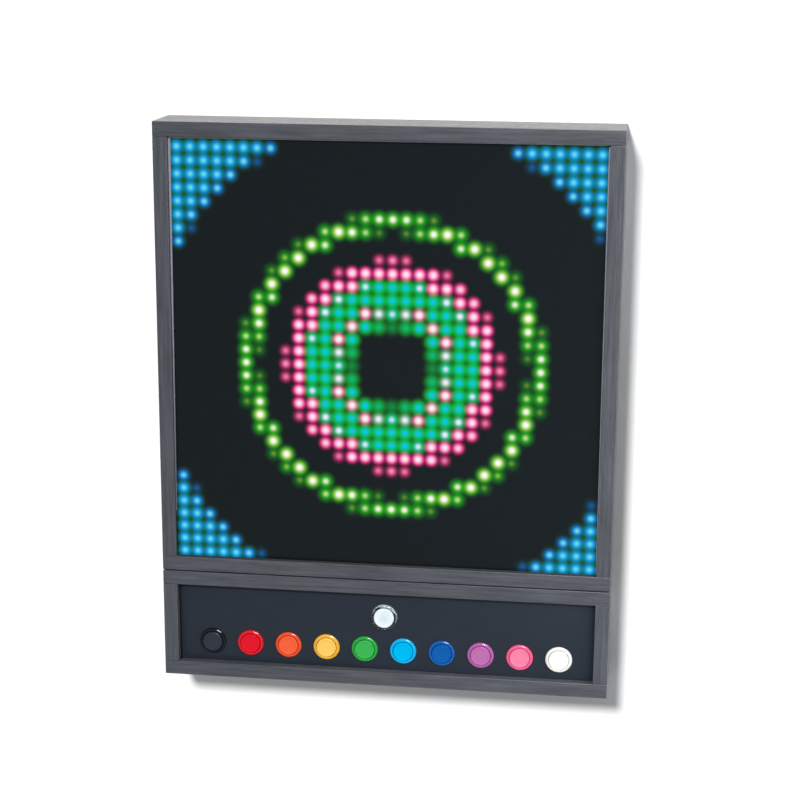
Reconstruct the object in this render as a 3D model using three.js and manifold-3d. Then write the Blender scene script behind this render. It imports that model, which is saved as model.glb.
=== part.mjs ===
// A wall-hung light game panel: a square box of 32 x 32 lights behind a smoked sheet, over a
// shallow control box with ten coloured push buttons in a row and one clear button above them.
// Units are millimetres. X runs right, Y runs back to the wall and Z runs up.
// The origin is at mid-width and mid-depth on the underside.

import * as THREE from 'three';
import * as BufferGeometryUtils from 'three/addons/utils/BufferGeometryUtils.js';
import Module from 'manifold-3d';

const wasm = await Module();
wasm.setup();

// ---------------------------------------------------------------- driving sizes

const gap = 0.3; // left between any two pieces that meet

const boxWidth = 570;
const boxDepth = 80;
const displayHeight = 570;
const controlHeight = 141;
const seamHeight = 1.6; // shadow line between the two boxes
const boardThickness = 18;
const boardEase = 0.8; // broken edge along each board's front

const sheetRecess = 7; // front of the boards to the smoked sheet
const sheetThickness = 4;
const sheetClearance = 0.5; // round the sheet, inside its opening
const trayRim = 9; // height of the rim that holds the sheet off the lights
const trayRimWidth = 4;
const trayFloor = 3;
const trayClearance = 1;

const panelRecess = 11; // front of the boards to the button panel
const panelThickness = 4;
const panelClearance = 0.5;

const rearRecess = 14; // wall to the rear cover
const rearCoverThickness = 4;
const rearCoverClearance = 0.6;
const middleRailClearance = 0.4; // middle rails to the rear cover that passes behind them
const ventCount = 9;
const ventWidth = 3.5;
const ventLength = 42;
const ventPitch = 14;
const upperVentDrop = 180; // display box's top to the middle of the upper vents
const lowerVentRise = 40; // display box's floor to the middle of the lower vents

const buttonNames = ['black', 'red', 'orange', 'yellow', 'green', 'cyan', 'blue', 'violet', 'pink', 'white'];
const buttonPitch = 49.6;
const lowerMarginShare = 0.27; // of the height that two rims leave free, what lies below the row
const middleMarginShare = 0.272; // and what lies between the row and the clear button
const buttonSegments = 16;

const rimOverhang = 2.3; // rim past the barrel
const rimHeight = 3.5;
const rimBevel = 1.7;
const barrelRadius = 14.7;
const barrelWall = 1.3;
const barrelDepth = 22;
const barrelFloor = 2;
const panelHoleClearance = 0.4;
const lipDepth = 3; // retaining lip behind the panel's face
const plungerRadius = 12.4;
const plungerClearance = 0.4;
const plungerRise = 1.8; // plunger's face above the rim
const plungerBevel = 0.7;
const plungerTravel = 3;
const plungerFlange = 2.2;
const plungerSkirt = 1.2; // wall of the hollow plunger
const plungerCap = 3.2; // thickness under the finger
const lipEase = 0.5;
const stemRadius = 3.4;
const stemClearance = 0.8;
const springWall = 0.9;
const springInnerClearance = 1.2;

const switchLength = 27.8;
const switchDepth = 15.9;
const switchThickness = 10.3;
const switchHoleRadius = 1.55;
const switchHoleSpacing = 22.2;
const switchHoleInset = 3;
const switchHoleSegments = 8;
const stemEndClearance = 0.4; // left between the stem's end and the switch at the end of the travel

const battenHeight = 60;
const battenWallGap = 0.6;
const battenDrop = 70; // display opening's top to the batten's middle
const battenEndGap = 8;

const supplyWidth = 215;
const supplyHeight = 115;
const supplyThickness = 30;
const supplyTerminalWidth = 20;
const supplyTerminalDepth = 14;
const supplyStandoff = 4;
const supplyAcross = 120; // to the right of the middle
const supplyUp = 60; // above the display box's underside

const pcbWidth = 96;
const pcbHeight = 64;
const pcbThickness = 1.6;
const controllerStandoff = 8;
const controllerAcross = -110;
const controllerUp = 130;

const inletWidth = 27;
const inletDepth = 20;
const inletBody = 16; // length inside the rail's hole
const inletFlangeWidth = 31;
const inletFlangeDepth = 24;
const inletFlangeThickness = 3;
const inletWall = 1.6;
const inletFloor = 2;
const inletRecess = 5; // flange let into the rail, so nothing stands below it
const inletAcross = 190;
const inletClearance = 0.5;

// ---------------------------------------------------------------- places worked out from the sizes

const frontY = -boxDepth / 2;
const wallY = boxDepth / 2;
const openingWidth = boxWidth - 2 * boardThickness;
const displayBottom = controlHeight + seamHeight;
const displayTop = displayBottom + displayHeight;
const displayOpeningHeight = displayHeight - 2 * boardThickness;
const displayFloor = displayBottom + boardThickness;
const displayMiddle = displayBottom + displayHeight / 2;
const controlOpeningHeight = controlHeight - 2 * boardThickness;
const controlMiddle = controlHeight / 2;
const rimRadius = barrelRadius + rimOverhang;

const sheetY = frontY + sheetRecess;
const trayY = sheetY + sheetThickness + gap;
const panelY = frontY + panelRecess;
const coverBackY = wallY - rearRecess;
const coverFrontY = coverBackY - rearCoverThickness;
const coverBottom = boardThickness + rearCoverClearance;
const coverTop = displayTop - boardThickness - rearCoverClearance;
const middleRailRelief = rearRecess + rearCoverThickness + middleRailClearance;

// ---------------------------------------------------------------- materials

const material = (color, roughness, metalness = 0) =>
  new THREE.MeshStandardMaterial({ color, roughness, metalness });

const laminate = material('#54585e', 0.55);
const smokedSheet = material('#1c2125', 0.12);
const panelSheet = material('#2b333c', 0.35);
const coverBoard = material('#2a2a2c', 0.8);
const trayWhite = material('#d8d8d4', 0.6);
const battenWood = material('#b08d60', 0.75);
const springSteel = material('#b9bcc0', 0.3, 1);
const switchPlastic = material('#181818', 0.5);
const cageSteel = material('#a9adb0', 0.4, 1);
const circuitBoard = material('#1d5a35', 0.5);
const inletPlastic = material('#131313', 0.4);

const buttonColours = {
  black: ['#15161a', '#34373c'],
  red: ['#e01e30', '#e6202c'],
  orange: ['#f0502c', '#f0643c'],
  yellow: ['#f5b53a', '#ffc855'],
  green: ['#2fa93f', '#43b551'],
  cyan: ['#00b4f0', '#00b8f0'],
  blue: ['#1a62bb', '#1c62b6'],
  violet: ['#b95bb0', '#bd6bb0'],
  pink: ['#f5407f', '#f97aa5'],
  white: ['#f7f7f2', '#fdfdf8'],
  mode: ['#c9cdd0', '#eef7f6'],
};

// ---------------------------------------------------------------- helpers

const group = new THREE.Group();

function addMesh(name, geometry, finish, position = [0, 0, 0]) {
  const mesh = new THREE.Mesh(geometry, finish);
  mesh.name = name;
  mesh.position.set(...position);
  group.add(mesh);
  return mesh;
}

function solidOf(geometry) {
  const bare = geometry.clone();
  bare.deleteAttribute('normal');
  bare.deleteAttribute('uv');
  const merged = BufferGeometryUtils.mergeVertices(bare, 1e-4);
  return new wasm.Manifold(new wasm.Mesh({
    numProp: 3,
    vertProperties: new Float32Array(merged.attributes.position.array),
    triVerts: new Uint32Array(merged.index.array),
  }));
}

function geometryOf(solid) {
  const mesh = solid.getMesh();
  const geometry = new THREE.BufferGeometry();
  geometry.setAttribute('position', new THREE.BufferAttribute(new Float32Array(mesh.vertProperties), 3));
  geometry.setIndex(new THREE.BufferAttribute(new Uint32Array(mesh.triVerts), 1));
  return geometry;
}

function blockAt(width, depth, height, x, y, z) {
  return new THREE.BoxGeometry(width, depth, height).translate(x, y, z);
}

// An upright sheet, its front at y = 0 and its thickness towards the wall.
function sheetOf(width, height, thickness) {
  return blockAt(width, thickness, height, 0, thickness / 2, 0);
}

function cut(geometry, cutters) {
  const rest = cutters.reduce((solid, cutter) => solid.subtract(solidOf(cutter)), solidOf(geometry));
  return geometryOf(rest);
}

// A body of revolution about the room's Y axis. Its points are [radius, distance forward] and run
// anticlockwise round the section. Forward is -Y, so they are reversed to keep the faces pointing out.
function turned(points, segments) {
  const profile = points.map(([radius, forward]) => new THREE.Vector2(radius, -forward));
  return new THREE.LatheGeometry(profile.reverse(), segments);
}

// ---------------------------------------------------------------- boards of the two boxes

// Turns a section drawn in x and y, and extruded along z, so that it lies along the room's X:
// its x runs back to the wall and its y runs up.
const alongX = new THREE.Matrix4().set(0, 0, 1, 0, 1, 0, 0, 0, 0, 1, 0, 0, 0, 0, 0, 1);

// A board of one section: its front edges are broken, as on an edge-banded board.
// Drawn with the depth along x and the thickness along y, then extruded along the board.
function boardGeometry(length, depth) {
  const shape = new THREE.Shape();
  shape.moveTo(boardEase, 0);
  shape.lineTo(depth, 0);
  shape.lineTo(depth, boardThickness);
  shape.lineTo(boardEase, boardThickness);
  shape.lineTo(0, boardThickness - boardEase);
  shape.lineTo(0, boardEase);
  shape.closePath();
  const geometry = new THREE.ExtrudeGeometry(shape, { depth: length, bevelEnabled: false });
  return geometry.translate(0, 0, -length / 2);
}

// Lying board: X along it, its front at y = 0 and its underside at z = 0.
function railGeometry() {
  return boardGeometry(boxWidth, boxDepth).applyMatrix4(alongX);
}

// A middle rail is cut back between its ends, so that the one rear cover passes behind it.
function middleRailGeometry() {
  const relief = blockAt(
    openingWidth, 2 * middleRailRelief, 2 * boardThickness, 0, boxDepth, boardThickness / 2,
  );
  return cut(railGeometry(), [relief]);
}

// Standing board between two rails: Z along it, its front at y = 0 and its middle at x = 0.
function stileGeometry(openingHeight) {
  const turn = new THREE.Matrix4().set(0, -1, 0, boardThickness / 2, 1, 0, 0, 0, 0, 0, 1, 0, 0, 0, 0, 1);
  return boardGeometry(openingHeight - 2 * gap, boxDepth).applyMatrix4(turn);
}

// The bottom rail has the power inlet's hole, with a shallow seat for its flange.
function bottomRailGeometry() {
  const hole = blockAt(
    inletWidth + 2 * inletClearance, inletDepth + 2 * inletClearance, 2 * boardThickness,
    inletAcross, boxDepth / 2, boardThickness,
  );
  const seat = blockAt(
    inletFlangeWidth + 2 * inletClearance, inletFlangeDepth + 2 * inletClearance, 2 * inletRecess,
    inletAcross, boxDepth / 2, 0,
  );
  return cut(railGeometry(), [hole, seat]);
}

addMesh('display_top_rail', railGeometry(), laminate, [0, frontY, displayTop - boardThickness]);
addMesh('display_bottom_rail', middleRailGeometry(), laminate, [0, frontY, displayBottom]);
addMesh('control_top_rail', middleRailGeometry(), laminate, [0, frontY, controlHeight - boardThickness]);
addMesh('control_bottom_rail', bottomRailGeometry(), laminate, [0, frontY, 0]);

for (const [side, across] of [['left', -1], ['right', 1]]) {
  const x = across * (boxWidth - boardThickness) / 2;
  const displayStile = stileGeometry(displayOpeningHeight);
  const controlStile = stileGeometry(controlOpeningHeight);
  addMesh(`display_${side}_stile`, displayStile, laminate, [x, frontY, displayMiddle]);
  addMesh(`control_${side}_stile`, controlStile, laminate, [x, frontY, controlMiddle]);
}

// ---------------------------------------------------------------- display: sheet and light tray

const sheetWidth = openingWidth - 2 * sheetClearance;
const sheetHeight = displayOpeningHeight - 2 * sheetClearance;
addMesh(
  'front_sheet', sheetOf(sheetWidth, sheetHeight, sheetThickness), smokedSheet,
  [0, sheetY, displayMiddle],
);

// The tray is a shallow pan, open to the front, that holds the lights and backs the sheet.
const trayWidth = openingWidth - 2 * trayClearance;
const trayHeight = displayOpeningHeight - 2 * trayClearance;
const trayDepth = trayRim + trayFloor;
const trayHollow = blockAt(
  trayWidth - 2 * trayRimWidth, 2 * trayRim, trayHeight - 2 * trayRimWidth, 0, 0, 0,
);
addMesh(
  'light_tray', cut(sheetOf(trayWidth, trayHeight, trayDepth), [trayHollow]), trayWhite,
  [0, trayY, displayMiddle],
);

// ---------------------------------------------------------------- rear cover and hanging batten

const coverWidth = openingWidth - 2 * rearCoverClearance;
const coverHeight = coverTop - coverBottom;
const coverMiddle = (coverBottom + coverTop) / 2;
const vents = [];
for (const height of [displayTop - upperVentDrop, displayFloor + lowerVentRise]) {
  for (let i = 0; i < ventCount; i += 1) {
    const x = (i - (ventCount - 1) / 2) * ventPitch;
    vents.push(blockAt(ventWidth, 4 * rearCoverThickness, ventLength, x, 0, height - coverMiddle));
  }
}
addMesh(
  'rear_cover', cut(sheetOf(coverWidth, coverHeight, rearCoverThickness), vents), coverBoard,
  [0, coverFrontY, coverMiddle],
);

// The batten hooks over a matching one on the wall, so its lower edge is bevelled at 45 degrees.
const battenThickness = rearRecess - gap - battenWallGap;
const battenLength = openingWidth - 2 * battenEndGap;
const battenSection = new THREE.Shape();
battenSection.moveTo(0, battenThickness);
battenSection.lineTo(battenThickness, 0);
battenSection.lineTo(battenThickness, battenHeight);
battenSection.lineTo(0, battenHeight);
battenSection.closePath();
const batten = new THREE.ExtrudeGeometry(battenSection, { depth: battenLength, bevelEnabled: false });
batten.translate(0, 0, -battenLength / 2);
batten.applyMatrix4(alongX);
addMesh(
  'hanging_batten', batten, battenWood,
  [0, coverBackY + gap, displayTop - boardThickness - battenDrop - battenHeight / 2],
);

// ---------------------------------------------------------------- power supply, controller and inlet

// A caged supply with a step along one end for its screw terminals.
const cage = new THREE.Shape();
cage.moveTo(0, 0);
cage.lineTo(supplyWidth, 0);
cage.lineTo(supplyWidth, supplyThickness);
cage.lineTo(supplyTerminalWidth, supplyThickness);
cage.lineTo(supplyTerminalWidth, supplyThickness - supplyTerminalDepth);
cage.lineTo(0, supplyThickness - supplyTerminalDepth);
cage.closePath();
const cageGeometry = new THREE.ExtrudeGeometry(cage, { depth: supplyHeight, bevelEnabled: false });
cageGeometry.translate(-supplyWidth / 2, -supplyThickness, 0);
addMesh(
  'power_supply', cageGeometry.rotateZ(Math.PI), cageSteel,
  [supplyAcross, coverFrontY - supplyStandoff - supplyThickness, displayBottom + supplyUp],
);

// The controller stands on short pillars off the cover, with its parts facing the lights.
// Each row is a part on the board: width, height along the board, depth, and its place across and up.
const boardParts = [
  [30, 20, 3, -18, 10],
  [14, 14, 6, 14, 14],
  [22, 9, 9, -30, -24],
  [22, 9, 9, 2, -24],
  [12, 12, 11, 38, -20],
];
const solderOverlap = 0.3;
let controller = solidOf(blockAt(pcbWidth, pcbThickness, pcbHeight, 0, -pcbThickness / 2, 0));
for (const [width, height, depth, across, up] of boardParts) {
  const y = solderOverlap - pcbThickness - depth / 2;
  controller = controller.add(solidOf(blockAt(width, depth, height, across, y, up)));
}
addMesh(
  'controller_board', geometryOf(controller), circuitBoard,
  [controllerAcross, coverFrontY - controllerStandoff, displayBottom + controllerUp],
);

// The mains inlet points down out of the bottom rail, its flange let in so the rail can stand flat.
const inletTop = inletRecess - gap;
const flange = blockAt(
  inletFlangeWidth, inletFlangeDepth, inletFlangeThickness, 0, 0, inletTop - inletFlangeThickness / 2,
);
const shell = blockAt(inletWidth, inletDepth, inletBody, 0, 0, inletTop + inletBody / 2 - inletWall);
const cavityTop = inletTop + inletBody - inletWall - inletFloor;
const cavity = blockAt(
  inletWidth - 2 * inletWall, inletDepth - 2 * inletWall, 2 * cavityTop, 0, 0, 0,
);
const inlet = geometryOf(solidOf(flange).add(solidOf(shell)));
addMesh('power_inlet', cut(inlet, [cavity]), inletPlastic, [inletAcross, 0, 0]);

// ---------------------------------------------------------------- buttons

const freeHeight = controlOpeningHeight - 4 * rimRadius;
const rowHeight = boardThickness + lowerMarginShare * freeHeight + rimRadius;
const modeHeight = rowHeight + middleMarginShare * freeHeight + 2 * rimRadius;
const buttons = buttonNames.map((name, i) => ({
  name,
  x: (i - (buttonNames.length - 1) / 2) * buttonPitch,
  z: rowHeight,
}));
buttons.push({ name: 'mode', x: 0, z: modeHeight });

// Forward distances of a button's parts are counted from the face of the panel.
const lipRadius = plungerRadius + plungerClearance;
const barrelInner = barrelRadius - barrelWall;
const stemHoleRadius = stemRadius + stemClearance;
const floorTop = barrelFloor - barrelDepth;
const switchFace = -barrelDepth - gap;
const plungerFace = rimHeight + plungerRise;
const flangeFront = -lipDepth - gap;
const flangeRadius = barrelInner - plungerClearance;
const capUnderside = plungerFace - plungerCap;
const stemEnd = switchFace + plungerTravel + stemEndClearance;

const bezelGeometry = turned([
  [rimRadius, gap],
  [rimRadius, rimHeight - rimBevel],
  [rimRadius - rimBevel, rimHeight],
  [lipRadius + lipEase, rimHeight],
  [lipRadius, rimHeight - lipEase],
  [lipRadius, -lipDepth],
  [barrelInner, -lipDepth],
  [barrelInner, floorTop],
  [stemHoleRadius, floorTop],
  [stemHoleRadius, -barrelDepth],
  [barrelRadius, -barrelDepth],
  [barrelRadius, gap],
  [rimRadius, gap],
], buttonSegments);

const plungerGeometry = turned([
  [0, stemEnd],
  [stemRadius, stemEnd],
  [stemRadius, capUnderside],
  [plungerRadius - plungerSkirt, capUnderside],
  [plungerRadius - plungerSkirt, flangeFront - plungerFlange],
  [flangeRadius, flangeFront - plungerFlange],
  [flangeRadius, flangeFront],
  [plungerRadius, flangeFront],
  [plungerRadius, plungerFace - plungerBevel],
  [plungerRadius - plungerBevel, plungerFace],
  [0, plungerFace],
], buttonSegments);

// The spring is the sleeve that its coils fill, between the cap and the barrel's floor.
const springInner = stemRadius + springInnerClearance;
const springGeometry = turned([
  [springInner, floorTop + gap],
  [springInner + springWall, floorTop + gap],
  [springInner + springWall, capUnderside - gap],
  [springInner, capUnderside - gap],
  [springInner, floorTop + gap],
], buttonSegments);

const switchHoleY = switchDepth - switchHoleInset - switchFace;
const switchHoles = [-1, 1].map((side) => new THREE.CylinderGeometry(
  switchHoleRadius, switchHoleRadius, 2 * switchThickness, switchHoleSegments,
).rotateX(Math.PI / 2).translate(side * switchHoleSpacing / 2, switchHoleY, 0));
const switchGeometry = cut(
  blockAt(switchLength, switchDepth, switchThickness, 0, switchDepth / 2 - switchFace, 0), switchHoles,
);

for (const { name, x, z } of buttons) {
  const [bezelColour, plungerColour] = buttonColours[name];
  const place = [x, panelY, z];
  addMesh(`bezel_${name}`, bezelGeometry.clone(), material(bezelColour, 0.2), place);
  addMesh(`plunger_${name}`, plungerGeometry.clone(), material(plungerColour, 0.3), place);
  addMesh(`spring_${name}`, springGeometry.clone(), springSteel, place);
  addMesh(`microswitch_${name}`, switchGeometry.clone(), switchPlastic, place);
}

// The panel is cut for each barrel, with corners lined up with the barrel's own.
const holeRadius = barrelRadius + panelHoleClearance;
const panelHoles = buttons.map(({ x, z }) => new THREE.CylinderGeometry(
  holeRadius, holeRadius, 4 * panelThickness, buttonSegments,
).translate(x, 0, z - controlMiddle));
const panelWidth = openingWidth - 2 * panelClearance;
const panelHeight = controlOpeningHeight - 2 * panelClearance;
addMesh(
  'button_panel', cut(sheetOf(panelWidth, panelHeight, panelThickness), panelHoles), panelSheet,
  [0, panelY, controlMiddle],
);

export default group;
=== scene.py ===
# %% [markdown]
# # A wall-hung light game panel
# The object is a square, board-framed box of 32 x 32 lights behind a smoked sheet. Under it hangs
# a shallow control box with ten coloured push buttons and one clear button above them.
# The frame already holds the sizes and the moving bodies, so every piece here takes its place
# from it. Lengths are written in millimetres, as on a workshop drawing, and turned into metres
# in one place.

import math

import bmesh
import bpy
from mathutils import Matrix, Vector


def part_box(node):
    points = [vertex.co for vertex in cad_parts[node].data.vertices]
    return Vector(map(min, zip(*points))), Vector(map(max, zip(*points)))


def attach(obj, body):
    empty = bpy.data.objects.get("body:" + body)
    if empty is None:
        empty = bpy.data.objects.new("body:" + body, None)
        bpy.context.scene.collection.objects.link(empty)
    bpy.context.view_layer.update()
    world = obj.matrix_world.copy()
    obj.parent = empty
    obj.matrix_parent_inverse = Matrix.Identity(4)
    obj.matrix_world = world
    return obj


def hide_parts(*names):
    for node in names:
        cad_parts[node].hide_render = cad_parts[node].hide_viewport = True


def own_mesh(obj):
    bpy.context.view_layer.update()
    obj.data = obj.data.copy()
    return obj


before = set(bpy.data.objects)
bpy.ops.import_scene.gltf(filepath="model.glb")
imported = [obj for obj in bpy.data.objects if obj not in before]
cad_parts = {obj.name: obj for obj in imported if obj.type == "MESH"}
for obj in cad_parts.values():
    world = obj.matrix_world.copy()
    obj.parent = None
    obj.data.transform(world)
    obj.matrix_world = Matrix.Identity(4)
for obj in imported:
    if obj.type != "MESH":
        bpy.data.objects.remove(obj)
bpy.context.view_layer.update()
scene = bpy.context.scene
MM = 0.001

# %% [markdown]
# ## Making pieces
# Blender builds a mesh from vertices and faces. A bmesh is the editable form, so each piece is
# drawn in one, eased along its edges and then handed to an object. The same few steps end every
# piece: smooth shading with crisp corners, a finish, the body that it moves with, and the solids
# that it stands for. One helper does them, so that no piece misses a step.

# %% Piece helper
def add_piece(name, shape, finish, body="panel", stands_for=(), crisp=32):
    """Turns a bmesh drawn in millimetres into a finished piece of the object."""
    bmesh.ops.scale(shape, vec=(MM, MM, MM), verts=shape.verts)
    bmesh.ops.recalc_face_normals(shape, faces=shape.faces)
    mesh = bpy.data.meshes.new(name)
    shape.to_mesh(mesh)
    shape.free()
    mesh.polygons.foreach_set("use_smooth", [True] * len(mesh.polygons))
    mesh.set_sharp_from_angle(angle=math.radians(crisp))
    mesh.materials.append(finish)
    piece = bpy.data.objects.new(name, mesh)
    scene.collection.objects.link(piece)
    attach(piece, body)
    if stands_for:
        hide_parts(*stands_for)
    return piece


def solid_box(node_name):
    """Lowest and highest corner of a solid of the frame, in millimetres."""
    low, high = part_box(node_name)
    return low / MM, high / MM


print("display box:", [round(v, 1) for v in solid_box("display_top_rail")[1]], "mm at its top corner")

# %% [markdown]
# ## Drawing straight pieces
# Boards, sheets and blocks are prisms: an outline pushed along one axis. Machined and moulded
# edges are never perfectly sharp, and a small round on each edge is what catches the light, so
# every prism is eased with a bevel of a few segments.

# %% Prism and block helpers
def prism(outline, start, end, axis):
    """A bmesh of an outline pushed from start to end along axis 'x', 'y' or 'z'.

    The outline's two numbers are the other two axes, in alphabetical order.
    """
    place = {
        "x": lambda a, b, t: (t, a, b),
        "y": lambda a, b, t: (a, t, b),
        "z": lambda a, b, t: (a, b, t),
    }[axis]
    shape = bmesh.new()
    lower = [shape.verts.new(place(a, b, start)) for a, b in outline]
    upper = [shape.verts.new(place(a, b, end)) for a, b in outline]
    shape.faces.new(lower)
    shape.faces.new(upper)
    for i in range(len(outline)):
        j = (i + 1) % len(outline)
        shape.faces.new((lower[i], lower[j], upper[j], upper[i]))
    bmesh.ops.recalc_face_normals(shape, faces=shape.faces)
    return shape


def block(low, high):
    """A bmesh block between two corners."""
    outline = [(low[0], low[1]), (high[0], low[1]), (high[0], high[1]), (low[0], high[1])]
    return prism(outline, low[2], high[2], "z")


def ease(shape, width, segments=3, chosen=None):
    """Rounds the edges of a bmesh, or only those that chosen(edge) picks."""
    edges = [e for e in shape.edges if chosen is None or chosen(e)]
    bmesh.ops.bevel(shape, geom=edges, offset=width, segments=segments, profile=0.5, affect="EDGES",
                    clamp_overlap=True)
    return shape


def join(shapes):
    """One bmesh made of several."""
    whole = bmesh.new()
    for shape in shapes:
        spare = bpy.data.meshes.new("spare")
        shape.to_mesh(spare)
        shape.free()
        whole.from_mesh(spare)
        bpy.data.meshes.remove(spare)
    return whole


print("straight-piece helpers ready")

# %% [markdown]
# ## Drawing turned pieces
# Rims, plungers, screws and pins are round, so they are turned like work on a lathe: half a
# section is drawn as pairs of radius and distance forward, and spun round the axis. Corners of
# the section are replaced by short curves, which gives soft moulded edges exactly where wanted.

# %% Lathe helper
def softened(points, steps=4):
    """Rounds the corners of a section. Each point is (radius, forward) or (radius, forward, round)."""
    drawn = []
    count = len(points)
    for i, point in enumerate(points):
        corner = Vector(point[:2])
        soft = point[2] if len(point) > 2 else 0
        if not soft:
            drawn.append(corner)
            continue
        before = Vector(points[i - 1][:2]) - corner
        after = Vector(points[(i + 1) % count][:2]) - corner
        a = corner + before.normalized() * min(soft, before.length * 0.48)
        b = corner + after.normalized() * min(soft, after.length * 0.48)
        for step in range(steps + 1):
            t = step / steps
            drawn.append((1 - t) ** 2 * a + 2 * t * (1 - t) * corner + t * t * b)
    return drawn


def turned(points, centre, closed=True, sides=96, steps=4):
    """A bmesh turned about the room's Y axis at centre; forward is towards the front, -Y."""
    section = softened(points, steps)
    shape = bmesh.new()
    rings = []
    for radius, forward in section:
        if radius < 1e-6:
            rings.append([shape.verts.new((centre[0], centre[1] - forward, centre[2]))])
            continue
        rings.append([
            shape.verts.new((
                centre[0] + radius * math.cos(2 * math.pi * k / sides),
                centre[1] - forward,
                centre[2] + radius * math.sin(2 * math.pi * k / sides),
            ))
            for k in range(sides)
        ])
    pairs = len(rings) if closed else len(rings) - 1
    for i in range(pairs):
        one, two = rings[i], rings[(i + 1) % len(rings)]
        for k in range(sides):
            m = (k + 1) % sides
            corners = [one[k % len(one)], one[m % len(one)], two[m % len(two)], two[k % len(two)]]
            corners = list(dict.fromkeys(corners))
            if len(corners) > 2:
                shape.faces.new(corners)
    bmesh.ops.recalc_face_normals(shape, faces=shape.faces)
    return shape


print("lathe helper ready")

# %% [markdown]
# ## Cutting holes
# A drill or a router takes away what it passes through. The boolean modifier does the same to a
# mesh, and its result is applied at once, so that the finished mesh really has the hole.

# %% Cutting helper
def cut_out(shape, cutters):
    """A bmesh with the cutter bmeshes taken out of it."""
    stock_mesh = bpy.data.meshes.new("stock")
    shape.to_mesh(stock_mesh)
    shape.free()
    stock = bpy.data.objects.new("stock", stock_mesh)
    tool_mesh = bpy.data.meshes.new("tool")
    whole = join(cutters)
    whole.to_mesh(tool_mesh)
    whole.free()
    tool = bpy.data.objects.new("tool", tool_mesh)
    for thing in (stock, tool):
        scene.collection.objects.link(thing)
    step = stock.modifiers.new("cut", "BOOLEAN")
    step.operation, step.solver, step.object = "DIFFERENCE", "EXACT", tool
    bpy.context.view_layer.update()
    made = stock.evaluated_get(bpy.context.evaluated_depsgraph_get())
    left = bmesh.new()
    left.from_mesh(made.to_mesh())
    made.to_mesh_clear()
    for thing, mesh in ((stock, stock_mesh), (tool, tool_mesh)):
        bpy.data.objects.remove(thing)
        bpy.data.meshes.remove(mesh)
    return left


print("cutting helper ready")

# %% [markdown]
# ## Building materials from nodes
# A finish is a small graph of nodes. These helpers add a node, set its values and join it to
# others in one line, so that a material reads like a recipe.

# %% Node helpers
def node(tree, kind, inputs=None, **settings):
    made = tree.nodes.new(kind)
    for key, value in settings.items():
        setattr(made, key, value)
    for key, value in (inputs or {}).items():
        if isinstance(value, bpy.types.NodeSocket):
            tree.links.new(value, made.inputs[key])
        else:
            made.inputs[key].default_value = value
    return made


def maths(tree, operation, a, b=0.0, clamp=False):
    return node(tree, "ShaderNodeMath", {0: a, 1: b}, operation=operation, use_clamp=clamp).outputs[0]


def vector_maths(tree, operation, a, b=(0, 0, 0), output="Vector"):
    return node(tree, "ShaderNodeVectorMath", {0: a, 1: b}, operation=operation).outputs[output]


def scaled(tree, vector, amount):
    made = node(tree, "ShaderNodeVectorMath", {0: vector, "Scale": amount}, operation="SCALE")
    return made.outputs["Vector"]


def mix_colour(tree, factor, a, b):
    return node(tree, "ShaderNodeMix", {0: factor, 6: a, 7: b}, data_type="RGBA").outputs[2]


def remap(tree, value, from_low, from_high, to_low=0.0, to_high=1.0):
    return node(tree, "ShaderNodeMapRange", {
        "Value": value, "From Min": from_low, "From Max": from_high, "To Min": to_low, "To Max": to_high,
    }).outputs["Result"]


def effect_group(name, inputs, outputs):
    """A new shader node group with named sockets: {name: (kind, default)} in, {name: kind} out."""
    group = bpy.data.node_groups.new(name, "ShaderNodeTree")
    for socket, (kind, default) in inputs.items():
        made = group.interface.new_socket(socket, in_out="INPUT", socket_type="NodeSocket" + kind)
        made.default_value = default
    for socket, kind in outputs.items():
        group.interface.new_socket(socket, in_out="OUTPUT", socket_type="NodeSocket" + kind)
    return group, node(group, "NodeGroupInput").outputs, node(group, "NodeGroupOutput").inputs


def placed(tree, group, inputs):
    """Places a group in a material and gives its outputs."""
    return node(tree, "ShaderNodeGroup", inputs, node_tree=group).outputs


def new_finish(name, **values):
    """A material with one Principled shader, whose plain values are set on its own sockets."""
    finish = bpy.data.materials.new(name)
    finish.use_nodes = True
    tree = finish.node_tree
    shader = tree.nodes["Principled BSDF"]
    for key, value in values.items():
        shader.inputs[key.replace("_", " ")].default_value = value
    return finish, tree, shader


def from_srgb(red, green, blue):
    """A colour given as 0-255 screen values, as the linear colour that shaders use."""
    channels = [v / 255 for v in (red, green, blue)]
    return tuple(c / 12.92 if c <= 0.04045 else ((c + 0.055) / 1.055) ** 2.4 for c in channels) + (1.0,)


print("node helpers ready")

# %% [markdown]
# ## Effect: laminate grain
# The boards are covered in a printed and lightly embossed laminate, with long thin streaks along
# each board. Noise that is stretched along the board gives the streaks: one wide and soft, one
# fine. The group puts out a shade for the colour and a height for the bump.

# %% Laminate grain group
laminate_grain, g_in, g_out = effect_group(
    "laminate_grain",
    {"Stretch": ("Vector", (12.0, 240.0, 240.0)), "Strength": ("Float", 1.0)},
    {"Shade": "Float", "Height": "Float"},
)
place = node(laminate_grain, "ShaderNodeTexCoord").outputs["Object"]
along = vector_maths(laminate_grain, "MULTIPLY", place, g_in["Stretch"])
broad = node(laminate_grain, "ShaderNodeTexNoise",
             {"Vector": along, "Scale": 1.0, "Detail": 3.0, "Roughness": 0.6})
fine_place = scaled(laminate_grain, along, 4.6)
fine = node(laminate_grain, "ShaderNodeTexNoise",
            {"Vector": fine_place, "Scale": 1.0, "Detail": 4.0, "Roughness": 0.7})
cloudy = node(laminate_grain, "ShaderNodeTexNoise", {"Vector": place, "Scale": 9.0, "Detail": 2.0})
streaks = maths(laminate_grain, "ADD", maths(laminate_grain, "MULTIPLY", broad.outputs["Fac"], 0.5),
                maths(laminate_grain, "MULTIPLY", fine.outputs["Fac"], 0.35))
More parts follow.
